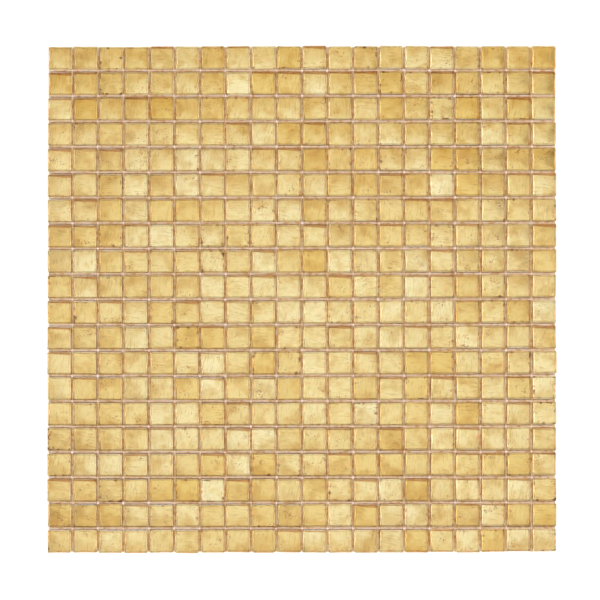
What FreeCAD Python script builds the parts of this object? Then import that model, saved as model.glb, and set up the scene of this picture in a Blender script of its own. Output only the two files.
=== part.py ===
import FreeCAD, Part
import os
import random

import Sketcher

# A mosaic sheet lying on its net, faces up: 20 x 20 cut glass chips with gold leaf near their backs,
# bonded to a laid net of flat glass-fibre yarns. Millimetres, +Z up, origin under the sheet's middle.

# Driving dimensions: alias, value, what it is
SIZES = [
    ("tile_width", "15.0", "a chip along X, measured at its face before the arris is taken off"),
    ("tile_height", "14.7", "a chip along Y, measured the same way"),
    ("tile_thickness", "4.0", "a chip from its back to its face"),
    ("column_joint", "1.35", "nominal gap between two chips of a row"),
    ("row_joint", "1.6", "nominal gap between two rows"),
    ("columns", "20", "chips in a row"),
    ("rows", "20", "rows in a sheet"),
    ("face_arris", "0.5", "width of the fire-polished edge round the face"),
    ("side_draft", "3.0", "degrees that a chip's sides lean in towards its back"),
    ("back_bevel", "0.7", "width of the bevel round the back, which keys into the adhesive"),
    ("cut_skew", "0.2", "how far the end of a cut side may run out of square"),
    ("corner_nick", "1.0", "how much of a broken corner is gone, along each of its sides"),
    ("lay_wander", "0.16", "how far a chip may lie off its place, as a share of the joint"),
    ("lay_twist", "0.9", "degrees that a chip may lie turned"),
    ("row_climb", "0.35", "how far the rows climb from the sheet's middle to its right side"),
    ("corner_pull", "0.4", "how far the drying net has pulled the sheet's corners in, along each side"),
    ("foot_spread", "0.2", "how far the sheet's front side has spread to the left and right"),
    ("warp_pitch", "4.58", "spacing of the yarns that run along Y"),
    ("weft_pitch", "5.5", "spacing of the yarns that run along X"),
    ("yarn_width", "0.9", "width of a flattened yarn"),
    ("yarn_thickness", "0.25", "thickness of a flattened yarn"),
    ("net_inset", "1.8", "how far the net's cut edge lies inside the outermost chips"),
]

# The five cuts that a sheet is laid from. Each corner, from front left round to back left, says how far
# its two sides have run in along X and along Y, as shares of cut_skew. CUT_SHARES says how often each comes.
CUTS = {
    "chip_square": [(0.0, 0.0), (0.1, 0.0), (0.0, 0.2), (0.0, 0.1)],
    "chip_wedge": [(0.0, 0.3), (0.2, 0.0), (1.0, 0.1), (0.0, 0.6)],
    "chip_lean": [(0.9, 0.0), (0.0, 0.4), (0.8, 0.0), (0.0, 0.2)],
    "chip_short": [(0.1, 1.0), (0.5, 0.7), (0.0, 0.0), (0.4, 0.3)],
    "chip_nicked": [(0.2, 0.1), (0.0, 0.4), (0.1, 0.0), (0.3, 0.2)],
}
CUT_SHARES = [3, 3, 3, 3, 2]
NICKED_CUT = "chip_nicked"
CORNER_SIDES = [(-1, -1), (1, -1), (1, 1), (-1, 1)]
LAYING_SEED = 29

PITCH_X = "(Sizes.tile_width + Sizes.column_joint)"
PITCH_Y = "(Sizes.tile_height + Sizes.row_joint)"
SHEET_X = f"(Sizes.columns * {PITCH_X} - Sizes.column_joint)"
SHEET_Y = f"(Sizes.rows * {PITCH_Y} - Sizes.row_joint)"
NET_X = f"({SHEET_X} - 2 * Sizes.net_inset)"
NET_Y = f"({SHEET_Y} - 2 * Sizes.net_inset)"
NET_TOP = "2 * Sizes.yarn_thickness"


def write_sizes(doc):
    sheet = doc.addObject("Spreadsheet::Sheet", "Sizes")
    for line, (alias, value, meaning) in enumerate(SIZES, start=1):
        sheet.set(f"A{line}", alias)
        sheet.set(f"B{line}", value)
        sheet.setAlias(f"B{line}", alias)
        sheet.set(f"C{line}", meaning)
    doc.recompute()


def origin_feature(body, role):
    return next(f for f in body.Origin.OriginFeatures if f.Role == role)


def sketch_on_plan(body, name, height):
    """A sketch on the body's XY plane, raised by the expression height."""
    sketch = body.newObject("Sketcher::SketchObject", name)
    sketch.AttachmentSupport = [(origin_feature(body, "XY_Plane"), "")]
    sketch.MapMode = "FlatFace"
    sketch.setExpression(".AttachmentOffset.Base.z", height)
    return sketch


def draw_outline(sketch, corners):
    """A closed outline of straight sides. Each corner is (side of X, expression, side of Y, expression)."""
    points = [
        FreeCAD.Vector(side_x * sketch.evalExpression(x), side_y * sketch.evalExpression(y), 0)
        for side_x, x, side_y, y in corners
    ]
    for start, end in zip(points, points[1:] + points[:1]):
        sketch.addGeometry(Part.LineSegment(start, end), False)
    last = len(corners)
    for side in range(last):
        sketch.addConstraint(Sketcher.Constraint("Coincident", side, 2, (side + 1) % last, 1))
    for side, (side_x, x, side_y, y) in enumerate(corners):
        for kind, sign, size in (("DistanceX", side_x, x), ("DistanceY", side_y, y)):
            ends = (-1, 1, side, 1) if sign > 0 else (side, 1, -1, 1)
            index = sketch.addConstraint(Sketcher.Constraint(kind, *ends, 1.0))
            label = f"{kind.lower()}_{side}"
            sketch.renameConstraint(index, label)
            sketch.setExpression(f"Constraints.{label}", size)


def pad_from(body, name, sketch, length):
    pad = body.newObject("PartDesign::Pad", name)
    pad.Profile = sketch
    pad.setExpression("Length", length)
    return pad


def named_at(kind, elements, height):
    """Names of the faces or edges that lie flat at that height."""
    return [
        f"{kind}{number}"
        for number, element in enumerate(elements, start=1)
        if all(abs(vertex.Z - height) < 1e-6 for vertex in element.Vertexes)
    ]


def upright_faces(shape):
    """Names of the faces that stand square to the plan."""
    faces = enumerate(shape.Faces, start=1)
    return [f"Face{number}" for number, face in faces if abs(face.normalAt(0, 0).z) < 1e-6]


def chamfer_edges(doc, body, name, base, height, size):
    chamfer = body.newObject("PartDesign::Chamfer", name)
    chamfer.Base = (base, named_at("Edge", base.Shape.Edges, height))
    chamfer.setExpression("Size", size)
    doc.recompute()
    return chamfer


def chip_corners(skews, nicked):
    """The corners of a cut, in the form that draw_outline takes. A nicked one has lost its back right."""
    front_left, front_right, back_right, back_left = [
        (
            side_x,
            f"Sizes.tile_width / 2 - {in_x} * Sizes.cut_skew",
            side_y,
            f"Sizes.tile_height / 2 - {in_y} * Sizes.cut_skew",
        )
        for (side_x, side_y), (in_x, in_y) in zip(CORNER_SIDES, skews)
    ]
    if not nicked:
        return [front_left, front_right, back_right, back_left]
    side_x, x, side_y, y = back_right
    side_end = (side_x, x, side_y, f"{y} - Sizes.corner_nick")
    back_end = (side_x, f"{x} - Sizes.corner_nick", side_y, y)
    return [front_left, front_right, side_end, back_end, back_left]


def make_chip(doc, name, skews):
    """One cut of chip, centred on its own origin with its back at z = 0. It isn't a piece by itself."""
    body = doc.addObject("PartDesign::Body", name)
    outline = sketch_on_plan(body, f"{name}_outline", "0")
    draw_outline(outline, chip_corners(skews, name == NICKED_CUT))
    glass = pad_from(body, f"{name}_glass", outline, "Sizes.tile_thickness")
    doc.recompute()
    thickness = doc.Sizes.get("tile_thickness")
    sides = body.newObject("PartDesign::Draft", f"{name}_sides")
    sides.Base = (glass, upright_faces(glass.Shape))
    sides.NeutralPlane = (glass, named_at("Face", glass.Shape.Faces, thickness))
    sides.setExpression("Angle", "Sizes.side_draft")
    sides.Reversed = True
    doc.recompute()
    arris = chamfer_edges(doc, body, f"{name}_arris", sides, thickness, "Sizes.face_arris")
    chamfer_edges(doc, body, f"{name}_bevel", arris, 0.0, "Sizes.back_bevel")
    return body


def lay_row(doc, row, chips, draw):
    """A row of chips, each a cut drawn at random and laid a little off its place, as a hand lays them.

    The whole sheet has drifted too: across and down run from -1 to 1 over it, and place each chip in that.
    """
    laid = []
    down = f"((({row} + 0.5) / Sizes.rows) * 2 - 1)"
    for column in range(int(doc.Sizes.get("columns"))):
        chip = doc.addObject("App::Link", f"chip_{row + 1:02d}_{column + 1:02d}")
        chip.LinkedObject = draw.choices(chips, CUT_SHARES)[0]
        half_turn = 180 * draw.randrange(2)
        off_x, off_y, twist = (round(draw.uniform(-1, 1), 2) for _ in range(3))
        across = f"((({column} + 0.5) / Sizes.columns) * 2 - 1)"
        chip.setExpression(
            ".Placement.Base.x",
            f"({column} + 0.5) * {PITCH_X} - {PITCH_X} * Sizes.columns / 2"
            f" + {off_x} * Sizes.lay_wander * Sizes.column_joint"
            f" + {across} * {down} * (Sizes.foot_spread - {down} * Sizes.corner_pull)",
        )
        chip.setExpression(
            ".Placement.Base.y",
            f"{off_y} * Sizes.lay_wander * Sizes.row_joint"
            f" + {across} * (Sizes.row_climb + {across} * {down} * Sizes.corner_pull)",
        )
        chip.setExpression(".Placement.Rotation.Angle", f"{half_turn} + {twist} * Sizes.lay_twist")
        laid.append(chip)
    tiles = doc.addObject("Part::Compound", f"tile_row_{row + 1:02d}")
    tiles.Links = laid
    tiles.setExpression(".Placement.Base.y", f"{PITCH_Y} * (Sizes.rows / 2 - {row} - 0.5)")
    tiles.setExpression(".Placement.Base.z", NET_TOP)
    return tiles


def lay_yarns(doc, name, height, along, across, pitch, axis):
    """One layer of the net: parallel flat yarns, as long as along, side by side over across."""
    body = doc.addObject("PartDesign::Body", name)
    body.AllowCompound = True
    spans = f"floor(({across} - Sizes.yarn_width) / {pitch})"
    first = f"{spans} * {pitch} / 2"
    outer = f"{first} + Sizes.yarn_width / 2"
    inner = f"{first} - Sizes.yarn_width / 2"
    end = f"{along} / 2"
    if axis == "X_Axis":
        corners = [(-1, outer, -1, end), (-1, inner, -1, end), (-1, inner, 1, end), (-1, outer, 1, end)]
    else:
        corners = [(-1, end, -1, outer), (1, end, -1, outer), (1, end, -1, inner), (-1, end, -1, inner)]
    outline = sketch_on_plan(body, f"{name}_first_outline", height)
    draw_outline(outline, corners)
    yarn = pad_from(body, f"{name}_first_yarn", outline, "Sizes.yarn_thickness")
    doc.recompute()
    yarns = body.newObject("PartDesign::LinearPattern", f"{name}_yarns")
    yarns.Originals = [yarn]
    yarns.Direction = (origin_feature(body, axis), [""])
    yarns.setExpression("Length", f"{spans} * {pitch}")
    yarns.setExpression("Occurrences", f"{spans} + 1")
    body.Tip = yarns
    return body


def check(doc, pieces):
    doc.recompute()
    failed = [o.Name for o in doc.Objects if "Invalid" in o.State or "Error" in o.State]
    if failed:
        raise RuntimeError(f"objects that failed: {failed}")
    for piece in pieces:
        if piece.Shape.isNull() or not piece.Shape.isValid():
            raise RuntimeError(f"{piece.Label} has no valid shape")


def main():
    doc = FreeCAD.newDocument("mosaic_sheet")
    write_sizes(doc)
    chips = [make_chip(doc, name, skews) for name, skews in CUTS.items()]
    draw = random.Random(LAYING_SEED)
    rows = [lay_row(doc, row, chips, draw) for row in range(int(doc.Sizes.get("rows")))]
    warp = lay_yarns(doc, "net_warp", "0", NET_Y, NET_X, "Sizes.warp_pitch", "X_Axis")
    weft = lay_yarns(doc, "net_weft", "Sizes.yarn_thickness", NET_X, NET_Y, "Sizes.weft_pitch", "Y_Axis")
    pieces = [*rows, warp, weft]
    check(doc, pieces)
    os.makedirs("parts", exist_ok=True)
    for piece in pieces:
        piece.Shape.exportStep(f"parts/{piece.Label}.step")
        print(f"{piece.Label}: {len(piece.Shape.Solids)} solids, {piece.Shape.Volume / 1000:.2f} cm3")


main()
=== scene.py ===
# %% [markdown]
# A sheet of gold-leaf glass mosaic, seen from straight above. Glass chips lie in straight rows, faces up, and
# a net of glass-fibre yarn holds them from behind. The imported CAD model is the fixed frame: every chip and
# every yarn of it has its place there, and this lesson dresses them in glass, leaf, adhesive and yarn.

# %% Load the frame
import math
import random

import bmesh
import bpy
from mathutils import Matrix, Vector


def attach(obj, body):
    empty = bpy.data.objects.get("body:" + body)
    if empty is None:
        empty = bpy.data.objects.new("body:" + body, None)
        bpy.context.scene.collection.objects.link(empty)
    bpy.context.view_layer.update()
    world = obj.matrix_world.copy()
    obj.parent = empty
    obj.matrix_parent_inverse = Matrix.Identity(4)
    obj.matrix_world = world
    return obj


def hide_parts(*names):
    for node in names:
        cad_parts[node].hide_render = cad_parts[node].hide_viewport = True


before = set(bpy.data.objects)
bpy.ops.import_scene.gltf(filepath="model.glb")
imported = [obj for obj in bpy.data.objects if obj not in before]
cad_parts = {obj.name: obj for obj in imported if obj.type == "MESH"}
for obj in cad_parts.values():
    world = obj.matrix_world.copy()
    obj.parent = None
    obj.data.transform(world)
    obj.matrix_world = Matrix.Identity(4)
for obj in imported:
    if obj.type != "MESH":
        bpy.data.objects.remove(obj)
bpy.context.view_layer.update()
MM = 0.001
ROWS = sorted(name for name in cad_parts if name.startswith("tile_row_"))
draw = random.Random(2035)

# %% [markdown]
# Colours are picked as sRGB hex, as a colour picker shows them, but shaders calculate in linear light. One
# function turns the first into the second, so that no material holds a colour in two notations.


# %% Colours
def linear(hex_colour):
    """An sRGB hex colour as linear red, green, blue and alpha."""
    parts = [int(hex_colour[i:i + 2], 16) / 255 for i in (0, 2, 4)]
    return (*[c / 12.92 if c <= 0.04045 else ((c + 0.055) / 1.055) ** 2.4 for c in parts], 1.0)


print("mid gold in linear light:", [round(c, 3) for c in linear("e5c783")])

# %% [markdown]
# A material is a small graph. One function adds a node: settings go in by keyword, and each input takes
# either a plain value or the output of another node, which makes the link. A colour ramp also takes its
# stops. The Mix node has its colours at inputs 6 and 7 and gives them at output 2, which are named here.

# %% A node, and a fresh material
MIX_FROM, MIX_TO, MIXED = 6, 7, 2


def add_node(tree, kind, inputs=None, stops=None, **settings):
    """Adds one node. An input's value is a number, a colour, or another node's output to link.

    The stops of a colour ramp are pairs of a place and a hex colour.
    """
    node = tree.nodes.new(kind)
    for name, value in settings.items():
        setattr(node, name, value)
    for name, value in (inputs or {}).items():
        if isinstance(value, bpy.types.NodeSocket):
            tree.links.new(value, node.inputs[name])
        else:
            node.inputs[name].default_value = value
    if stops:
        elements = node.color_ramp.elements
        while len(elements) < len(stops):
            elements.new(0.5)
        for element, (place, colour) in zip(elements, stops):
            element.position = place
            element.color = linear(colour)
    return node


def new_material(name):
    """An empty material, its node tree and its output node."""
    material = bpy.data.materials.new(name)
    material.use_nodes = True
    tree = material.node_tree
    tree.nodes.clear()
    return material, tree, add_node(tree, "ShaderNodeOutputMaterial")


print("helpers ready")

# %% [markdown]
# The chips are cut and laid by hand, so no two have quite the same outline or place, and some have lost a
# corner. The CAD model already holds that: each row is one node of loose chips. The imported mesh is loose
# triangles, so a copy is merged first, and each island of it is one chip. A chip's vertices lie on four
# levels: its back, the top of the back bevel, the foot of the arris (the edge round the face) and the face.


# %% Read the laid chips out of the frame
def islands(bm):
    """The vertices of each loose part of a bmesh."""
    waiting = set(bm.verts)
    while waiting:
        found = [waiting.pop()]
        for vert in found:
            for edge in vert.link_edges:
                other = edge.other_vert(vert)
                if other in waiting:
                    waiting.remove(other)
                    found.append(other)
        yield found


def box_of(places):
    """The lowest and the highest corner of the box round some places."""
    return [Vector(map(pick, *places)) for pick in (min, max)]


def read_chips(node):
    """Each chip of a row, from left to right: its outline at the arris foot, its centre and its levels."""
    bm = bmesh.new()
    bm.from_mesh(node.data)
    bmesh.ops.remove_doubles(bm, verts=bm.verts, dist=0.001 * MM)
    chips = []
    for verts in islands(bm):
        levels = sorted({round(v.co.z, 6) for v in verts})
        outline = [v.co.copy() for v in verts if abs(v.co.z - levels[2]) < 0.01 * MM]
        low, high = box_of(outline)
        centre = (low + high) / 2
        outline.sort(key=lambda p: math.atan2(p.y - centre.y, p.x - centre.x))
        chips.append({"outline": outline, "centre": centre, "levels": levels})
    bm.free()
    return sorted(chips, key=lambda chip: chip["centre"].x)


rows = {name: read_chips(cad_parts[name]) for name in ROWS}
BACK, BEVEL_TOP, ARRIS_FOOT, FACE = rows[ROWS[0]][0]["levels"]
every_chip = [chip for chips in rows.values() for chip in chips]
CHIP_SIZE = max((a - b).length for a, b in zip(every_chip[0]["outline"], every_chip[0]["outline"][1:]))
print("chips:", len(every_chip), "with a corner gone:", sum(len(chip["outline"]) > 4 for chip in every_chip))
print("levels in mm:", [round(z / MM, 2) for z in (BACK, BEVEL_TOP, ARRIS_FOOT, FACE)])

# %% [markdown]
# Each chip also gets its own character, drawn once with a fixed seed: how pale or deep its leaf is and how
# dull, how round its corners melted in the fire, how its leaf leans, and an offset that moves every pattern,
# so that the clouds of one chip never run on into the next.

# %% Give each chip its character
DEEP_LEAF, PALE_LEAF, DULL_LEAF = [Vector(linear(tone)[:3]) for tone in ("f0da88", "ffffdd", "cfc4a0")]
TONE_SPREAD = 0.26
DULLEST = 0.12
CORNER_RADII = [0.3 * MM, 0.35 * MM, 0.4 * MM, 0.5 * MM, 0.8 * MM]
BOW_OUT, BOW_IN = -0.02 * MM, 0.2 * MM
for chip in every_chip:
    outline = chip["outline"]
    paleness = min(1.0, max(0.0, draw.gauss(0.5, TONE_SPREAD)))
    sides = [(a - b).length for a, b in zip(outline, outline[1:] + outline[:1])]
    chip["tone"] = DEEP_LEAF.lerp(PALE_LEAF, paleness).lerp(DULL_LEAF, draw.uniform(0, DULLEST))
    chip["offset"] = Vector([draw.uniform(0, 1) for _ in range(3)])
    chip["corner"] = [
        min(draw.choice(CORNER_RADII), before / 4, after / 4)
        for before, after in zip(sides[-1:] + sides[:-1], sides)
    ]
    chip["bows"] = [draw.uniform(BOW_OUT, BOW_IN) for _ in sides]
    chip["tilt"] = (draw.gauss(0, 1), draw.gauss(0, 1))
print("a chip:", {key: value for key, value in every_chip[0].items() if key in ("tone", "tilt")})

# %% [markdown]
# A chip starts as the outline that the CAD cut it to, with its sides a little bowed and its corners beveled
# round. The rest is drawn from that flat face, the cap: each step extrudes it and shrinks it towards the
# chip's middle. So the small corner facets shrink with it and never cross, as they would with a plain inset.


# %% Cut a chip's outline and draw it in
def draw_in(bm, cap, chip, inward, along):
    """A new ring round a cap: the cap moves along Z and shrinks towards the chip's middle."""
    cap = bmesh.ops.extrude_discrete_faces(bm, faces=[cap])["faces"][0]
    shrink = 1 - 2 * inward / CHIP_SIZE
    middle = Matrix.Translation(-chip["centre"])
    bmesh.ops.scale(bm, verts=cap.verts, vec=(shrink, shrink, 1), space=middle)
    bmesh.ops.translate(bm, verts=cap.verts, vec=(0, 0, along))
    return cap


def cut_outline(chip):
    """A flat face of the chip's outline, with its sides a little bowed and its corners broken."""
    bm = bmesh.new()
    points = []
    for start, end, bow in zip(chip["outline"], chip["outline"][1:] + chip["outline"][:1], chip["bows"]):
        middle = (start + end) / 2
        points += [start, middle + (chip["centre"] - middle).normalized() * bow]
    verts = [bm.verts.new(point) for point in points]
    bm.faces.new(verts)
    for corner, radius in zip(verts[::2], chip["corner"]):
        bmesh.ops.bevel(
            bm, geom=[corner], offset=radius, segments=1, profile=0.5, affect="VERTICES", material=-1
        )
    return bm


trial = cut_outline(every_chip[0])
print("one outline:", len(trial.verts), "points round", len(every_chip[0]["outline"]), "corners")
trial.free()

# %% [markdown]
# The glass of a chip. Its outline is drawn down into leaning sides and a beveled back, and up through the
# arris, which the fire has melted into a soft pillow edge. The faces that look down or sideways keep the
# ground finish of the cut, and the others are polished, so a chip has two material slots.

# %% Model the glass of one chip
POLISHED, GROUND = 0, 1
GROUND_BELOW = 0.2
SIDE_LEAN = math.tan(math.radians(3.0))
ARRIS_WIDTH = 0.5 * MM
ARRIS_STEPS = 3
ARRIS_DROP = FACE - ARRIS_FOOT


def glass_chip(chip):
    """A closed bmesh of one chip, standing in its place in the sheet."""
    bm = cut_outline(chip)
    made = bmesh.ops.extrude_face_region(bm, geom=bm.faces[:])["geom"]
    lower = [item for item in made if isinstance(item, bmesh.types.BMVert)]
    side = ARRIS_FOOT - BEVEL_TOP
    bmesh.ops.translate(bm, verts=lower, vec=(0, 0, -side))
    shrink = 1 - 2 * SIDE_LEAN * side / CHIP_SIZE
    bmesh.ops.scale(bm, verts=lower, vec=(shrink, shrink, 1), space=Matrix.Translation(-chip["centre"]))
    bmesh.ops.recalc_face_normals(bm, faces=bm.faces)
    top, bottom = sorted((f for f in bm.faces if len(f.verts) > 4), key=lambda f: -f.verts[0].co.z)
    bevel = BEVEL_TOP - BACK
    draw_in(bm, bottom, chip, bevel, -bevel)
    angles = [math.radians(90 * step / ARRIS_STEPS) for step in range(ARRIS_STEPS + 1)]
    for before, after in zip(angles, angles[1:]):
        inward = ARRIS_WIDTH * (math.cos(before) - math.cos(after))
        top = draw_in(bm, top, chip, inward, ARRIS_DROP * (math.sin(after) - math.sin(before)))
    for face in bm.faces:
        face.material_index = GROUND if face.normal.z < GROUND_BELOW else POLISHED
        face.smooth = True
    return bm


trial = glass_chip(every_chip[0])
print("one chip:", len(trial.faces), "faces, closed:", all(edge.is_manifold for edge in trial.edges))
print("heights in mm:", sorted({round(v.co.z / MM, 2) for v in trial.verts}))
trial.free()

# %% [markdown]
# The leaf is beaten gold, a tenth of a micrometre thick, laid on a backing glass and covered with the
# clear glass before firing. It wrinkles a little as the glass sinks. Here it is a thin plate inside the
# chip, just above the back bevel: rings drawn inwards, domed, leaning and raised and lowered at random.

# %% Model the leaf of one chip
LEAF_LEVEL = BEVEL_TOP + 0.12 * MM
LEAF_BORDER = 0.08 * MM
LEAF_RINGS = [0.9 * MM, 2.1 * MM, 2.1 * MM]
LEAF_LEAN = 0.09 * MM
LEAF_DOME = 0.2 * MM
LEAF_CRINKLE = 0.02 * MM
LEAF_PLATE = 0.04 * MM


def leaf_sheet(chip):
    """A crinkled, slightly domed plate of gold leaf, as wide as the glass around it less a hair."""
    bm = cut_outline(chip)
    leaf = bm.faces[:][0]
    shrink = 1 - 2 * (LEAF_BORDER + SIDE_LEAN * (ARRIS_FOOT - LEAF_LEVEL)) / CHIP_SIZE
    bmesh.ops.scale(bm, verts=bm.verts, vec=(shrink, shrink, 1), space=Matrix.Translation(-chip["centre"]))
    for inward in LEAF_RINGS:
        leaf = draw_in(bm, leaf, chip, inward, 0)
    bmesh.ops.poke(bm, faces=[leaf])
    lean_x, lean_y = chip["tilt"]
    for vert in bm.verts:
        off = (vert.co - chip["centre"]) * 2 / CHIP_SIZE
        dome = LEAF_DOME * (1 - min(1, off.x**2)) * (1 - min(1, off.y**2))
        vert.co.z = LEAF_LEVEL + dome + (off.x * lean_x + off.y * lean_y) * LEAF_LEAN
        if not vert.is_boundary:
            vert.co.z += draw.uniform(-1, 1) * LEAF_CRINKLE
    bmesh.ops.recalc_face_normals(bm, faces=bm.faces)
    bmesh.ops.solidify(bm, geom=bm.faces[:], thickness=LEAF_PLATE)
    bmesh.ops.recalc_face_normals(bm, faces=bm.faces)
    for face in bm.faces:
        face.smooth = abs(face.normal.z) > 0.5
    return bm


trial = leaf_sheet(every_chip[0])
print("one leaf:", len(trial.faces), "faces, closed:", all(edge.is_manifold for edge in trial.edges))
print("heights in mm:", [round(corner.z / MM, 2) for corner in box_of([v.co for v in trial.verts])])
trial.free()

# %% [markdown]
# The chips of a row are joined into one mesh. Each face carries its chip's tone and offset as attributes,
# and a UV map that runs from 0 to 1 across the chip, so that one material can colour them all apart.

# %% Join a row's chips into one piece
PLAN_MIDDLE = Vector((0.5, 0.5, 0))


def joined_row(name, chips, model):
    """One object of a row's chips, each made by model, with their tones, offsets and a plan of each chip."""
    mesh = bpy.data.meshes.new(name)
    whole = bmesh.new()
    tones = []
    offsets = []
    plans = []
    for chip in chips:
        bm = model(chip)
        tones += [chip["tone"]] * len(bm.faces)
        offsets += [chip["offset"]] * len(bm.faces)
        for face in bm.faces:
            plans += [(loop.vert.co - chip["centre"]) / CHIP_SIZE + PLAN_MIDDLE for loop in face.loops]
        bm.to_mesh(mesh)
        bm.free()
        whole.from_mesh(mesh)
    whole.to_mesh(mesh)
    whole.free()
    tone = mesh.attributes.new("leaf_tone", "FLOAT_COLOR", "FACE")
    offset = mesh.attributes.new("pattern_offset", "FLOAT_VECTOR", "FACE")
    for index, (colour, shift) in enumerate(zip(tones, offsets)):
        tone.data[index].color = (*colour, 1.0)
        offset.data[index].vector = shift
    plan = mesh.uv_layers.new(name="chip_plan")
    for index, place in enumerate(plans):
        plan.uv[index].vector = place.xy
    piece = bpy.data.objects.new(name, mesh)
    bpy.context.scene.collection.objects.link(piece)
    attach(piece, "root")
    return piece


glass_rows = []
leaf_rows = []
for name in ROWS:
    number = name[-2:]
    glass = joined_row(f"glass_chips_{number}", rows[name], glass_chip)
    sharpened = glass.modifiers.new("flat faces", "WEIGHTED_NORMAL")
    sharpened.weight = 100
    leaf = joined_row(f"gold_leaf_{number}", rows[name], leaf_sheet)
    glass_rows.append(glass)
    leaf_rows.append(leaf)
    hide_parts(name)
print("glass faces:", sum(len(o.data.polygons) for o in glass_rows))
print("leaf faces:", sum(len(o.data.polygons) for o in leaf_rows))

# %% [markdown]
# The net. Its yarns are bundles of glass filaments, pressed flat when the net is sized. In the CAD each of
# its two layers is one node of flat strips, so each island of that mesh is a yarn, and the box round the
# island says where the yarn lies.


# %% Read the yarns
def read_yarns(node):
    """The lowest and highest corner of each yarn of a net layer."""
    bm = bmesh.new()
    bm.from_mesh(node.data)
    bmesh.ops.remove_doubles(bm, verts=bm.verts, dist=0.001 * MM)
    boxes = [box_of([v.co for v in verts]) for verts in islands(bm)]
    bm.free()
    return sorted(boxes, key=lambda box: (box[0].x, box[0].y))


warp_boxes = read_yarns(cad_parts["net_warp"])
weft_boxes = read_yarns(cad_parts["net_weft"])
print("yarns:", len(warp_boxes), "along Y and", len(weft_boxes), "along X")

# %% [markdown]
# Each flat strip becomes a lens-shaped yarn: a tube, cut into short lengths, that swells on the crossings,
# where adhesive holds it, and is drawn thinner between them.

# %% Model the two layers of yarns
YARN_SIDES = 6
MID_SPAN = 0.85
MID_SPAN_SPREAD = 0.03


def add_to(bm, part):
    """Joins a finished bmesh part to a larger one and frees it."""
    loose = bpy.data.meshes.new("loose part")
    part.to_mesh(loose)
    part.free()
    bm.from_mesh(loose)
    bpy.data.meshes.remove(loose)


def yarn_layer(name, boxes, crossing_boxes, along):
    """One layer of the net: a flattened tube in each box, wider and thicker where it crosses a yarn."""
    across = 1 - along
    crossings = sorted((low[along] + high[along]) / 2 for low, high in crossing_boxes)
    stations = [boxes[0][0][along]]
    for here, following in zip(crossings, crossings[1:]):
        stations += [here, (here + following) / 2]
    stations += [crossings[-1], boxes[0][1][along]]
    turn = Matrix.Rotation(math.radians(90), 4, "Y" if along == 0 else "X")
    bm = bmesh.new()
    for low, high in boxes:
        size = high - low
        middle = (low + high) / 2
        yarn = bmesh.new()
        bmesh.ops.create_cone(yarn, cap_ends=True, segments=YARN_SIDES, radius1=0.5, radius2=0.5, depth=1.0)
        bmesh.ops.transform(yarn, matrix=turn, verts=yarn.verts)
        bmesh.ops.scale(yarn, vec=size, verts=yarn.verts)
        long_edges = [e for e in yarn.edges if e.calc_length() > size[along] / 2]
        bmesh.ops.subdivide_edges(yarn, edges=long_edges, cuts=len(stations) - 2)
        step = size[along] / (len(stations) - 1)
        for vert in yarn.verts:
            ring = round((vert.co[along] + size[along] / 2) / step)
            vert.co[along] = stations[ring] - middle[along]
            swell = 1.0 if ring % 2 else MID_SPAN * draw.uniform(1 - MID_SPAN_SPREAD, 1 + MID_SPAN_SPREAD)
            vert.co[across] *= swell
            vert.co.z *= swell
        bmesh.ops.translate(yarn, vec=middle, verts=yarn.verts)
        add_to(bm, yarn)
    for face in bm.faces:
        face.smooth = len(face.verts) == 4
    piece_mesh = bpy.data.meshes.new(name)
    bm.to_mesh(piece_mesh)
    bm.free()
    piece = bpy.data.objects.new(name, piece_mesh)
    bpy.context.scene.collection.objects.link(piece)
    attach(piece, "root")
    return piece


warp = yarn_layer("warp_yarns", warp_boxes, weft_boxes, 1)
weft = yarn_layer("weft_yarns", weft_boxes, warp_boxes, 0)
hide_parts("net_warp")
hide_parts("net_weft")
print("yarn faces:", len(warp.data.polygons), len(weft.data.polygons))

# %% [markdown]
# The adhesive. The net is rolled with white adhesive, the chips are pressed into it, and it dries as a low
# bead along the root of each joint. It also ran out a little past the net's cut edge. The lines of the
# joints lie half way between the middles of two rows or two columns. The lines of the yarns are needed too,
# because the adhesive stands higher over a yarn.

# %% Find the joints and the yarns under them
BEAD_OVERRUN = 1.2 * MM


def middles(values):
    """The middles between values that follow each other."""
    return [(a + b) / 2 for a, b in zip(values, values[1:])]


row_lines = [sum(chip["centre"].y for chip in rows[name]) / len(rows[name]) for name in ROWS]
columns = zip(*[rows[name] for name in ROWS])
column_lines = [sum(chip["centre"].x for chip in column) / len(column) for column in columns]
warp_lines = [(low.x + high.x) / 2 for low, high in warp_boxes]
weft_lines = [(low.y + high.y) / 2 for low, high in weft_boxes]
past_net = Vector((BEAD_OVERRUN, BEAD_OVERRUN, 0))
bead_low = Vector((weft_boxes[0][0].x, warp_boxes[0][0].y, 0)) - past_net
bead_high = Vector((weft_boxes[0][1].x, warp_boxes[0][1].y, 0)) + past_net
print("joints:", len(middles(row_lines)), "between rows and", len(middles(column_lines)), "between columns")

# %% [markdown]
# One bead is a ridge with a flat foot and a narrower, ragged top. It stands higher, and is whiter, wherever
# a yarn runs under the joint. Its attribute tells the material how much adhesive lies there, and with it how
# much painted shade the bead gets: the lower the value, the browner.

# %% Model one bead of adhesive
BEAD_FOOT = 2.3 * MM
BEAD_TOP = 0.95 * MM
BEAD_CUTS = 140
BEAD_RAGGED = 0.11 * MM
YARN_LIFT, YARN_LIFT_REACH = 0.3 * MM, 1.6 * MM
YARN_THICK, YARN_THICK_REACH = 1.0, 2.2 * MM


def nearness(place, lines, reach):
    """1 on one of the lines, 0 at reach from it and beyond."""
    return max(0.0, 1 - min(abs(place - line) for line in lines) / reach)


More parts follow.
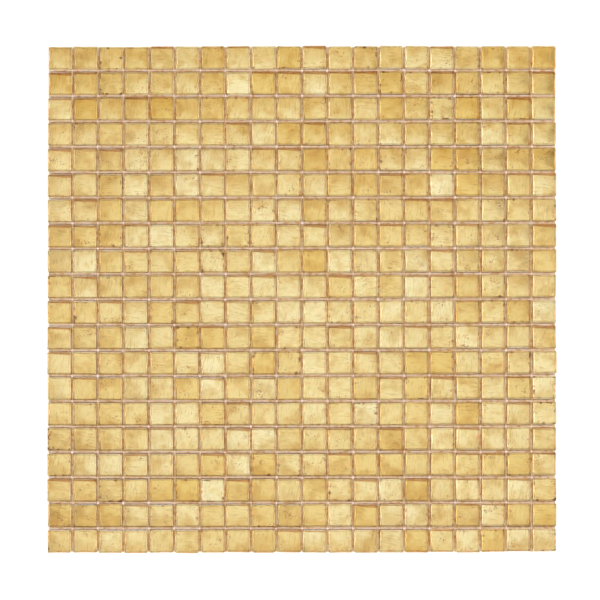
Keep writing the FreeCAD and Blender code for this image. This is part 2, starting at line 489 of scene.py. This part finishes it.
def joint_bead(bm, start, end, low, high, thickness, yarn_lines):
    """A ragged ridge of adhesive from start to end, lifted and thicker where the yarns pass under it."""
    run = end - start
    along = 0 if abs(run.x) > abs(run.y) else 1
    across = Vector((-run.y, run.x, 0)).normalized()
    ridge = bmesh.new()
    half = across * BEAD_FOOT / 2
    foot = [start - half, start + half, end + half, end - half]
    face = ridge.faces.new([ridge.verts.new((p.x, p.y, low)) for p in foot])
    made = bmesh.ops.extrude_face_region(ridge, geom=[face])["geom"]
    top = [item for item in made if isinstance(item, bmesh.types.BMVert)]
    bmesh.ops.translate(ridge, verts=top, vec=(0, 0, high - low))
    for vert in top:
        side = 1 if (vert.co - start).dot(across) > 0 else -1
        vert.co -= across * side * (BEAD_FOOT - BEAD_TOP) / 2
    long_edges = [e for e in ridge.edges if e.calc_length() > run.length / 2]
    bmesh.ops.subdivide_edges(ridge, edges=long_edges, cuts=BEAD_CUTS)
    for vert in ridge.verts:
        if vert.co.z > low + 0.01 * MM:
            vert.co += Vector((draw.uniform(-1, 1), draw.uniform(-1, 1), draw.uniform(-1.5, 1))) * BEAD_RAGGED
            vert.co.z += YARN_LIFT * nearness(vert.co[along], yarn_lines, YARN_LIFT_REACH)
    bmesh.ops.recalc_face_normals(ridge, faces=ridge.faces)
    thick_and_lit = ridge.verts.layers.float.new("thick_and_lit")
    for vert in ridge.verts:
        more = nearness(vert.co[along], yarn_lines, YARN_THICK_REACH)
        vert[thick_and_lit] = thickness + (YARN_THICK - thickness) * more
    add_to(bm, ridge)


half_way = nearness(YARN_LIFT_REACH / 2, [0.0], YARN_LIFT_REACH)
print("lift of a bead half way off a yarn, in mm:", round(YARN_LIFT * half_way / MM, 2))

# %% [markdown]
# In the joints between rows the adhesive was pressed up further than between the chips of a row, which stand
# closer. The column beads also get a lower value of the attribute, which paints them browner: painted shade
# of the narrower joints between the chips of a row. The feet of the two kinds of bead lie on different
# levels, because two faces in one plane would flicker where the beads cross.

# %% Lay the beads in the joints
BEAD_SHIFT = 0.12 * MM
# The last value of each kind says how white its beads are; the column beads get less, which is painted shade.
ROW_BEAD_LOW, ROW_BEAD_HIGH, ROW_BEAD_THICK_AND_LIT = 0.3 * MM, BACK + 2.1 * MM, 0.5
COLUMN_BEAD_LOW, COLUMN_BEAD_HIGH, COLUMN_BEAD_THIN_AND_SHADED = 0.36 * MM, BACK + 1.5 * MM, 0.25


def adhesive_piece(name, bm):
    """Turns a bmesh of adhesive into a piece that rides on the sheet."""
    mesh = bpy.data.meshes.new(name)
    for face in bm.faces:
        face.smooth = True
    bm.to_mesh(mesh)
    bm.free()
    piece = bpy.data.objects.new(name, mesh)
    bpy.context.scene.collection.objects.link(piece)
    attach(piece, "root")
    print(name, "faces:", len(mesh.polygons))
    return piece


bm = bmesh.new()
bm.verts.layers.float.new("thick_and_lit")
for y in middles(row_lines):
    start, end = Vector((bead_low.x, y + BEAD_SHIFT, 0)), Vector((bead_high.x, y + BEAD_SHIFT, 0))
    joint_bead(bm, start, end, ROW_BEAD_LOW, ROW_BEAD_HIGH, ROW_BEAD_THICK_AND_LIT, warp_lines)
for x in middles(column_lines):
    start, end = Vector((x, bead_low.y, 0)), Vector((x, bead_high.y, 0))
    joint_bead(bm, start, end, COLUMN_BEAD_LOW, COLUMN_BEAD_HIGH, COLUMN_BEAD_THIN_AND_SHADED, weft_lines)
beads = adhesive_piece("adhesive_beads", bm)

# %% [markdown]
# Where two joints cross, the adhesive stands highest, in a dab. A sphere of a few faces is enough for it,
# stretched, knocked out of shape and nudged off the crossing, each by another amount.

# %% Set a dab on each crossing
DAB_SIZE = Vector((1.95, 2.1, 1.3)) * MM
DAB_SMALLEST, DAB_LARGEST = 0.55, 1.2
DAB_NUDGE = 0.3 * MM
DAB_RAGGED = 0.1 * MM
DAB_HIGH = ROW_BEAD_HIGH + 0.35 * MM
bm = bmesh.new()
for x in middles(column_lines):
    for y in middles(row_lines):
        made = bmesh.ops.create_uvsphere(bm, u_segments=8, v_segments=4, radius=0.5)["verts"]
        bmesh.ops.scale(bm, verts=made, vec=DAB_SIZE * draw.uniform(DAB_SMALLEST, DAB_LARGEST))
        nudge = Vector((draw.uniform(-DAB_NUDGE, DAB_NUDGE), draw.uniform(-DAB_NUDGE, DAB_NUDGE), 0))
        for vert in made:
            vert.co += Vector([draw.uniform(-1, 1) for _ in range(3)]) * DAB_RAGGED
        bmesh.ops.translate(bm, verts=made, vec=Vector((x, y, DAB_HIGH)) + nudge)
thick_and_lit = bm.verts.layers.float.new("thick_and_lit")
for vert in bm.verts:
    vert[thick_and_lit] = 1.0
dabs = adhesive_piece("adhesive_dabs", bm)

# %% [markdown]
# Clear soda-lime glass with a breath of amber, fire-polished. To the eye: see-through and glossy, a little
# wavy, and a deeper amber wherever one looks a long way through it, as along a chip's sides. Absorption in
# the volume gives that last effect, because it grows with the way that light goes in the glass.

# %% Glass
WAVE_LENGTH = 6 * MM
AMBER, AMBER_DENSITY = "ffe2a0", 40.0
amber_glass, tree, output = new_material("fire-polished amber glass")
place = add_node(tree, "ShaderNodeTexCoord").outputs["Object"]
offset = add_node(tree, "ShaderNodeAttribute", attribute_name="pattern_offset").outputs["Vector"]
moved = add_node(tree, "ShaderNodeVectorMath", {0: place, 1: offset}, operation="ADD").outputs["Vector"]
wave = add_node(
    tree, "ShaderNodeTexNoise", {"Vector": moved, "Scale": 1 / WAVE_LENGTH, "Detail": 2.0, "Roughness": 0.45}
).outputs["Fac"]
wavy = add_node(
    tree, "ShaderNodeBump", {"Height": wave, "Strength": 0.5, "Distance": 0.12 * MM}
).outputs["Normal"]
glass = add_node(
    tree,
    "ShaderNodeBsdfPrincipled",
    {
        "Base Color": linear("fffaf0"),
        "Roughness": 0.04,
        "IOR": 1.52,
        "Transmission Weight": 1.0,
        "Normal": wavy,
    },
)
tint = add_node(tree, "ShaderNodeVolumeAbsorption", {"Color": linear(AMBER), "Density": AMBER_DENSITY})
tree.links.new(glass.outputs["BSDF"], output.inputs["Surface"])
tree.links.new(tint.outputs["Volume"], output.inputs["Volume"])
print(amber_glass.name, "nodes:", len(tree.nodes))

# %% [markdown]
# The sides and the back bevel are as the cutting wheel left them. To the eye: frosted amber. The light that
# comes from the right goes through the chip and makes its left edge a cream line, while the right edge, which
# gets only the light of the weaker lamp on the left, stays brown.

# %% Ground sides
GRIT = 0.5 * MM
ground_glass, tree, output = new_material("ground amber glass")
place = add_node(tree, "ShaderNodeTexCoord").outputs["Object"]
grit = add_node(
    tree, "ShaderNodeTexNoise", {"Vector": place, "Scale": 1 / GRIT, "Detail": 2.0}
).outputs["Fac"]
rough = add_node(
    tree, "ShaderNodeBump", {"Height": grit, "Strength": 0.6, "Distance": 0.05 * MM}
).outputs["Normal"]
glass = add_node(
    tree,
    "ShaderNodeBsdfPrincipled",
    {
        "Base Color": linear("faeed4"),
        "Roughness": 0.3,
        "IOR": 1.52,
        "Transmission Weight": 0.8,
        "Normal": rough,
    },
)
tint = add_node(tree, "ShaderNodeVolumeAbsorption", {"Color": linear(AMBER), "Density": AMBER_DENSITY})
tree.links.new(glass.outputs["BSDF"], output.inputs["Surface"])
tree.links.new(tint.outputs["Volume"], output.inputs["Volume"])
for piece in glass_rows:
    piece.data.materials.append(amber_glass)
    piece.data.materials.append(ground_glass)
print(ground_glass.name, "nodes:", len(tree.nodes))

# %% [markdown]
# Gold leaf fired between glass. To the eye: a warm metal that mirrors the room softly, each chip in a tone of
# its own. What the laying and the fire did to it comes in layers, one to a cell, and so do the painted shade
# and painted reflections at its edges; most are a ramp of colours over a noise. The first two: it is cloudy
# where the leaf lies unevenly, here greener, there rosier.

# %% Clouds and blush of the gold leaf
CLOUD = 10 * MM
BLUSH = 4 * MM
gold_leaf, tree, output = new_material("fired gold leaf")
place = add_node(tree, "ShaderNodeTexCoord").outputs["Object"]
offset = add_node(tree, "ShaderNodeAttribute", attribute_name="pattern_offset").outputs["Vector"]
moved = add_node(tree, "ShaderNodeVectorMath", {0: place, 1: offset}, operation="ADD").outputs["Vector"]
tone = add_node(tree, "ShaderNodeAttribute", attribute_name="leaf_tone").outputs["Color"]

cloud = add_node(
    tree, "ShaderNodeTexNoise", {"Vector": moved, "Scale": 1 / CLOUD, "Detail": 3.0, "Roughness": 0.5}
)
clouds = add_node(
    tree,
    "ShaderNodeValToRGB",
    {"Fac": cloud.outputs["Fac"]},
    stops=[(0.34, "e2ca92"), (0.46, "f8f0dc"), (0.55, "ffffff")],
)
blush = add_node(tree, "ShaderNodeTexNoise", {"Vector": moved, "Scale": 1 / BLUSH, "Detail": 1.0})
blushes = add_node(
    tree,
    "ShaderNodeValToRGB",
    {"Fac": blush.outputs["Fac"]},
    stops=[(0.32, "f3f2d6"), (0.46, "ffffff"), (0.56, "ffffff"), (0.7, "fceee0")],
)
print("clouds and blushes in mm:", round(CLOUD / MM, 1), round(BLUSH / MM, 1))

# %% [markdown]
# The laying brush left fine streaks. The chip's offset also serves as its three dice: one turns the streaks
# along or across the chip, and another turns them a little askew.

# %% Streaks of the gold leaf
STREAK = 0.7 * MM
STREAK_STRETCH = 0.1
STREAK_SKEW = math.radians(14)
dice = add_node(tree, "ShaderNodeSeparateXYZ", {"Vector": offset}).outputs
either = add_node(tree, "ShaderNodeMath", {0: dice["X"]}, operation="ROUND").outputs["Value"]
skewed = add_node(
    tree, "ShaderNodeMath", {0: dice["Y"], 1: STREAK_SKEW}, operation="MULTIPLY"
).outputs["Value"]
angle = add_node(
    tree, "ShaderNodeMath", {0: either, 1: math.radians(90), 2: skewed}, operation="MULTIPLY_ADD"
).outputs["Value"]
turned = add_node(tree, "ShaderNodeVectorRotate", {"Vector": moved, "Angle": angle}, rotation_type="Z_AXIS")
drawn_out = add_node(
    tree, "ShaderNodeMapping", {"Vector": turned.outputs["Vector"], "Scale": (1.0, STREAK_STRETCH, 1.0)}
)
streak = add_node(
    tree, "ShaderNodeTexNoise", {"Vector": drawn_out.outputs["Vector"], "Scale": 1 / STREAK, "Detail": 2.0}
)
streaks = add_node(
    tree, "ShaderNodeValToRGB", {"Fac": streak.outputs["Fac"]}, stops=[(0.3, "dcc698"), (0.45, "ffffff")]
)
print("streaks in mm:", round(STREAK / MM, 1), "wide and", round(STREAK / STREAK_STRETCH / MM, 1), "long")

# %% [markdown]
# A bubble or dust lifted the leaf here and there and left a brown speck. A coarser noise is added to that
# of the specks, so that they come in swarms.

# %% Specks of the gold leaf
SPECK = 0.9 * MM
SWARM = 8 * MM
SWARMING = 0.6
speck = add_node(tree, "ShaderNodeTexNoise", {"Vector": moved, "Scale": 1 / SPECK, "Detail": 2.0})
swarm = add_node(tree, "ShaderNodeTexNoise", {"Vector": moved, "Scale": 1 / SWARM, "Detail": 1.0})
gathered = add_node(
    tree,
    "ShaderNodeMath",
    {0: swarm.outputs["Fac"], 1: SWARMING, 2: speck.outputs["Fac"]},
    operation="MULTIPLY_ADD",
)
specks = add_node(
    tree,
    "ShaderNodeMapRange",
    {"Value": gathered.outputs["Value"], "From Min": 1.01, "From Max": 1.05, "To Max": 0.8},
)
print("specks and their swarms in mm:", round(SPECK / MM, 1), round(SWARM / MM, 1))

# %% [markdown]
# At the chip's edge the leaf frays and tarnishes in a brown border, on a few chips a ragged one. The border
# is
# also painted shade: it darkens the rim of every chip, where the edge of the glass lies in shade. Some chips
# show a thin brown line a little inside the edge, a painted reflection of the chip's edge mirrored in the
# leaf.
# The UV map says how far out from the chip's middle a point lies, and a noise makes both lines ragged.

# %% Frayed border with painted edge shade, and painted reflection line, of the gold leaf
FRAY = 2.2 * MM
plan = add_node(tree, "ShaderNodeUVMap", uv_map="chip_plan").outputs["UV"]
off_middle = add_node(tree, "ShaderNodeVectorMath", {0: plan, 1: (0.5, 0.5, 0.0)}, operation="SUBTRACT")
off_middle = add_node(tree, "ShaderNodeVectorMath", {0: off_middle.outputs["Vector"]}, operation="ABSOLUTE")
parts = add_node(tree, "ShaderNodeSeparateXYZ", {"Vector": off_middle.outputs["Vector"]})
out = add_node(tree, "ShaderNodeMath", {0: parts.outputs["X"], 1: parts.outputs["Y"]}, operation="MAXIMUM")
fray = add_node(tree, "ShaderNodeTexNoise", {"Vector": moved, "Scale": 1 / FRAY, "Detail": 3.0})
ragged = add_node(tree, "ShaderNodeMath", {0: fray.outputs["Fac"], 1: 0.5}, operation="SUBTRACT")
raggedness = add_node(
    tree,
    "ShaderNodeMapRange",
    {"Value": dice["Z"], "From Min": 0.6, "From Max": 1.0, "To Min": 0.12, "To Max": 0.9},
)
frayed = add_node(
    tree,
    "ShaderNodeMath",
    {0: ragged.outputs["Value"], 1: raggedness.outputs["Result"], 2: out.outputs["Value"]},
    operation="MULTIPLY_ADD",
)
# The brown border: fraying and tarnish of the leaf, and painted shade along the chip's rim.
edge_tarnish_and_shade = add_node(
    tree,
    "ShaderNodeValToRGB",
    {"Fac": frayed.outputs["Value"]},
    stops=[(0.495, "ffffff"), (0.512, "e6cc9a"), (0.53, "b48650"), (0.57, "7c5230")],
)
# Painted reflection: a thin brown line a little inside the edge of some chips, the chip's edge as the leaf
# mirrors it.
mirrored_edge_line = add_node(
    tree,
    "ShaderNodeValToRGB",
    {"Fac": frayed.outputs["Value"]},
    stops=[(0.395, "ffffff"), (0.405, "d0a868"), (0.415, "ffffff")],
)
mirrored_edge_amount = add_node(
    tree,
    "ShaderNodeMapRange",
    {"Value": dice["Y"], "From Min": 0.5, "From Max": 0.8, "To Min": 0.0, "To Max": 0.8},
)
print("the border frays in waves of", round(FRAY / MM, 1), "mm")

# %% [markdown]
# On other chips a brown strip runs along the back edge of the leaf: a painted reflection of the chip's dark
# back wall, seen in the glass along that edge. Its edge slants and wavers a little.

# %% Painted reflection strip along the back edge of the gold leaf
STRIP_SLOPE, STRIP_WAVER = 0.08, 0.05
across = add_node(tree, "ShaderNodeSeparateXYZ", {"Vector": plan}).outputs
slope = add_node(tree, "ShaderNodeMath", {0: dice["Y"], 1: STRIP_SLOPE}, operation="MULTIPLY")
slanted = add_node(
    tree,
    "ShaderNodeMath",
    {0: across["X"], 1: slope.outputs["Value"], 2: across["Y"]},
    operation="MULTIPLY_ADD",
)
wavering = add_node(
    tree,
    "ShaderNodeMath",
    {0: ragged.outputs["Value"], 1: STRIP_WAVER, 2: slanted.outputs["Value"]},
    operation="MULTIPLY_ADD",
)
# Painted reflection: a brown strip along the back edge, the chip's dark back wall as the glass shows it.
reflected_back_wall = add_node(
    tree,
    "ShaderNodeValToRGB",
    {"Fac": wavering.outputs["Value"]},
    stops=[(0.905, "ffffff"), (0.92, "b8844e"), (0.94, "deb078"), (0.99, "cc985c")],
)
reflected_back_wall_amount = add_node(
    tree,
    "ShaderNodeMapRange",
    {"Value": dice["Z"], "From Min": 0.28, "From Max": 0.2, "To Min": 0.0, "To Max": 0.75},
)
print("the bare strip slants by up to", round(STRIP_SLOPE * CHIP_SIZE / MM, 1), "mm")

# %% [markdown]
# Every layer multiplies the chip's tone, as a stain does, and so do the layers of painted shade and painted
# reflection. The metal keeps the default IOR, and the crinkle that is too fine for the mesh of the leaf is a
# bump.

# %% Lay the layers over each other
CRINKLE = 1.8 * MM
colour = tone
for layer, amount in (
    (clouds.outputs["Color"], 0.6),
    (blushes.outputs["Color"], 0.5),
    (streaks.outputs["Color"], 0.5),
    (edge_tarnish_and_shade.outputs["Color"], 0.9),
    (mirrored_edge_line.outputs["Color"], mirrored_edge_amount.outputs["Result"]),
    (reflected_back_wall.outputs["Color"], reflected_back_wall_amount.outputs["Result"]),
    (linear("a47432"), specks.outputs["Result"]),
):
    colour = add_node(
        tree,
        "ShaderNodeMix",
        {0: amount, MIX_FROM: colour, MIX_TO: layer},
        data_type="RGBA",
        blend_type="MULTIPLY",
    ).outputs[MIXED]

crinkle = add_node(tree, "ShaderNodeTexNoise", {"Vector": moved, "Scale": 1 / CRINKLE, "Detail": 2.0})
crinkled = add_node(
    tree, "ShaderNodeBump", {"Height": crinkle.outputs["Fac"], "Strength": 0.25, "Distance": 0.05 * MM}
)
leaf = add_node(
    tree,
    "ShaderNodeBsdfPrincipled",
    {"Base Color": colour, "Metallic": 1.0, "Roughness": 0.17, "Normal": crinkled.outputs["Normal"]},
)
tree.links.new(leaf.outputs["BSDF"], output.inputs["Surface"])
for piece in leaf_rows:
    piece.data.materials.append(gold_leaf)
print(gold_leaf.name, "nodes:", len(tree.nodes))

# %% [markdown]
# Glass-fibre yarn, sized white. To the eye: matt and silky, with fine lines along it where the filaments lie
# side by side. The lines are a noise drawn out along the yarn, so each direction has its own stretch.

# %% Yarn
FILAMENT = 0.12 * MM
for piece, stretch in ((warp, (1.0, 0.05, 1.0)), (weft, (0.05, 1.0, 1.0))):
    yarn_white, tree, output = new_material(f"sized glass-fibre yarn of {piece.name}")
    place = add_node(tree, "ShaderNodeTexCoord").outputs["Object"]
    drawn_out = add_node(tree, "ShaderNodeMapping", {"Vector": place, "Scale": stretch}).outputs["Vector"]
    filament = add_node(
        tree, "ShaderNodeTexNoise", {"Vector": drawn_out, "Scale": 1 / FILAMENT, "Detail": 1.0}
    )
    shade = add_node(
        tree,
        "ShaderNodeValToRGB",
        {"Fac": filament.outputs["Fac"]},
        stops=[(0.35, "d8d0da"), (0.5, "f1ecf3"), (0.65, "fbf8fc")],
    )
    ribbed = add_node(
        tree, "ShaderNodeBump", {"Height": filament.outputs["Fac"], "Strength": 0.5, "Distance": 0.04 * MM}
    )
    yarn = add_node(
        tree,
        "ShaderNodeBsdfPrincipled",
        {"Base Color": shade.outputs["Color"], "Roughness": 0.55, "Normal": ribbed.outputs["Normal"]},
    )
    tree.links.new(yarn.outputs["BSDF"], output.inputs["Surface"])
    piece.data.materials.append(yarn_white)
    print(yarn_white.name, "nodes:", len(tree.nodes))

# %% [markdown]
# White dispersion adhesive, dried. To the eye: milky and pinkish white where it is thick. Lower in the joint
# it is painted amber-brown, patchily: painted shade of the deep joint, tinted as light through the amber
# glass would be. The attribute says how much adhesive there is along a bead and how much painted shade it
# gets, and down the flanks of a bead, towards the root of the joint, the painted shade grows.

# %% Adhesive, with painted joint shade
PATCH = 3 * MM
FLANK, RIDGE = 1.5 * MM, 2.5 * MM
dried_adhesive, tree, output = new_material("dried white adhesive")
place = add_node(tree, "ShaderNodeTexCoord").outputs["Object"]
thick_and_lit = add_node(tree, "ShaderNodeAttribute", attribute_name="thick_and_lit").outputs["Fac"]
height = add_node(tree, "ShaderNodeSeparateXYZ", {"Vector": place}).outputs["Z"]
# Painted light and shade by height: the higher on the bead, the whiter; the lower, the browner.
ridge = add_node(tree, "ShaderNodeMapRange", {"Value": height, "From Min": FLANK, "From Max": RIDGE})
milky_and_lit = add_node(tree, "ShaderNodeMath", {0: thick_and_lit, 1: ridge.outputs["Result"]}, operation="MULTIPLY")
patch = add_node(tree, "ShaderNodeTexNoise", {"Vector": place, "Scale": 1 / PATCH, "Detail": 3.0})
patchy = add_node(
    tree,
    "ShaderNodeMapRange",
    {"Value": patch.outputs["Fac"], "From Min": 0.35, "From Max": 0.65, "To Min": 0.3, "To Max": 1.4},
)
whiteness = add_node(
    tree,
    "ShaderNodeMath",
    {0: milky_and_lit.outputs["Value"], 1: patchy.outputs["Result"]},
    operation="MULTIPLY",
    use_clamp=True,
)
# Painted shade: amber-brown where the bead lies low in the joint, as the shaded joint looks under amber
# glass.
painted_joint_shade = add_node(
    tree,
    "ShaderNodeValToRGB",
    {"Fac": patch.outputs["Fac"]},
    stops=[(0.38, "deac64"), (0.5, "fad892"), (0.62, "ffeebc")],
)
white = add_node(
    tree,
    "ShaderNodeMix",
    {0: whiteness.outputs["Value"], MIX_FROM: painted_joint_shade.outputs["Color"], MIX_TO: linear("ffe9de")},
    data_type="RGBA",
)
adhesive = add_node(tree, "ShaderNodeBsdfPrincipled", {"Base Color": white.outputs[MIXED], "Roughness": 0.45})
tree.links.new(adhesive.outputs["BSDF"], output.inputs["Surface"])
for piece in (beads, dabs):
    piece.data.materials.append(dried_adhesive)
print(dried_adhesive.name, "nodes:", len(tree.nodes))

# %% [markdown]
# The floor. Its paint is lifted to full white only where the camera, a mirror or glass sees it, so that it
# throws no more light on the mosaic.


# %% White floor
def stage_plane(name, size, place, turn=0.0):
    """A flat level rectangle of the studio, turned by so many degrees."""
    mesh = bpy.data.meshes.new(name)
    bm = bmesh.new()
    bmesh.ops.create_grid(bm, x_segments=1, y_segments=1, size=0.5)
    bmesh.ops.scale(bm, verts=bm.verts, vec=(*size, 1))
    bmesh.ops.rotate(bm, verts=bm.verts, matrix=Matrix.Rotation(math.radians(turn), 3, "Z"))
    bmesh.ops.translate(bm, verts=bm.verts, vec=place)
    bm.to_mesh(mesh)
    bm.free()
    plane = bpy.data.objects.new(name, mesh)
    bpy.context.scene.collection.objects.link(plane)
    return plane


FLOOR_SIZE = (4.0, 4.0)
FLOOR_LEVEL = -0.05 * MM
FLOOR_LIFT = 0.4
floor = stage_plane("floor", FLOOR_SIZE, (0, 0, FLOOR_LEVEL))
floor_paint, tree, output = new_material("white studio floor")
matt = add_node(tree, "ShaderNodeBsdfDiffuse", {"Color": linear("f2f2f2")})
path = add_node(tree, "ShaderNodeLightPath").outputs
mirrored = add_node(
    tree, "ShaderNodeMath", {0: path["Is Glossy Ray"], 1: path["Is Transmission Ray"]}, operation="MAXIMUM"
)
seen = add_node(
    tree, "ShaderNodeMath", {0: path["Is Camera Ray"], 1: mirrored.outputs["Value"]}, operation="MAXIMUM"
)
lifted = add_node(tree, "ShaderNodeMath", {0: seen.outputs["Value"], 1: FLOOR_LIFT}, operation="MULTIPLY")
lift = add_node(tree, "ShaderNodeEmission", {"Color": linear("ffffff"), "Strength": lifted.outputs["Value"]})
both = add_node(tree, "ShaderNodeAddShader", {0: matt.outputs["BSDF"], 1: lift.outputs["Emission"]})
tree.links.new(both.outputs["Shader"], output.inputs["Surface"])
floor.data.materials.append(floor_paint)
print(floor_paint.name, "nodes:", len(tree.nodes))

# %% [markdown]
# Gold shows what it mirrors, so kraft cards hang out of sight above the mosaic and leave a white window in
# their middle. The rows at the back mirror the edge of that window. They are darker and warmer than the front
# ones for it, and each chip there has its own bright and dark part.

# %% Cards round the window
CARD_HEIGHT = 1.6
card_paper, tree, output = new_material("kraft paper")
paper = add_node(tree, "ShaderNodeBsdfDiffuse", {"Color": linear("ead8b6")})
tree.links.new(paper.outputs["BSDF"], output.inputs["Surface"])
for name, size, x, y, turn in (
    ("back card", (1.8, 0.6), 0.0, 0.482, -6),
    ("front card", (1.8, 0.5), 0.0, -0.56, 0),
    ("left card", (0.5, 0.66), -0.6, -0.05, 0),
    ("right card", (0.5, 0.66), 0.68, -0.03, 0),
):
    card = stage_plane(name, size, (x, y, CARD_HEIGHT), turn=turn)
    card.visible_camera = False
    card.data.materials.append(card_paper)
    print(name, "in m:", size, "at", (x, y, CARD_HEIGHT))

# %% [markdown]
# The light. The white world lights the mosaic evenly, a lamp on the right gives the chips their bright and
# dark edges, and weak ones on the left and in front fill the joints.

# %% World and lamps
WORLD_WHITE = 1.02
world = bpy.data.worlds.new("white studio")
world.use_nodes = True
bpy.context.scene.world = world
tree = world.node_tree
tree.nodes.clear()
backdrop = add_node(tree, "ShaderNodeBackground", {"Color": linear("ffffff"), "Strength": WORLD_WHITE})
add_node(tree, "ShaderNodeOutputWorld", {"Surface": backdrop.outputs["Background"]})


def soft_lamp(name, place, size, watts):
    """A rectangular lamp that faces the middle of the sheet."""
    lamp = bpy.data.lights.new(name, "AREA")
    lamp.shape = "RECTANGLE"
    lamp.size, lamp.size_y = size
    lamp.energy = watts
    holder = bpy.data.objects.new(name, lamp)
    holder.location = place
    holder.rotation_euler = (-Vector(place)).to_track_quat("-Z", "Y").to_euler()
    bpy.context.scene.collection.objects.link(holder)
    print(name, "watts:", watts)


soft_lamp("right lamp", (1.5, -0.1, 1.9), (1.0, 1.0), 10)
soft_lamp("left lamp", (-1.5, -0.1, 1.9), (1.0, 1.0), 3.5)
soft_lamp("front lamp", (0.3, -2.0, 1.6), (1.6, 1.0), 4)

# %% [markdown]
# The camera hangs straight above the sheet, far enough away that the joints show hardly any of their walls.
# The photograph is 600 pixels wide, and its column pitch of 25.55 pixels is 16.35 mm, so it takes in 384 mm
# at the level of the faces.

# %% Camera
FRAME_PIXELS = 600
PIXELS_PER_MM = 25.55 / 16.35
SHEET_CENTRE = (301.96, 299.4)
CAMERA_HEIGHT = 2.2
SENSOR = 36.0
seen_width = FRAME_PIXELS / PIXELS_PER_MM * MM
camera_data = bpy.data.cameras.new("camera")
camera_data.sensor_width = SENSOR
camera_data.lens = SENSOR * (CAMERA_HEIGHT - ARRIS_FOOT) / seen_width
camera = bpy.data.objects.new("camera", camera_data)
camera.location = (
    (FRAME_PIXELS / 2 - SHEET_CENTRE[0]) / PIXELS_PER_MM * MM,
    (SHEET_CENTRE[1] - FRAME_PIXELS / 2) / PIXELS_PER_MM * MM,
    CAMERA_HEIGHT,
)
bpy.context.scene.collection.objects.link(camera)
bpy.context.scene.camera = camera
bpy.context.scene.view_settings.view_transform = "Standard"
print("lens in mm:", round(camera_data.lens, 1))
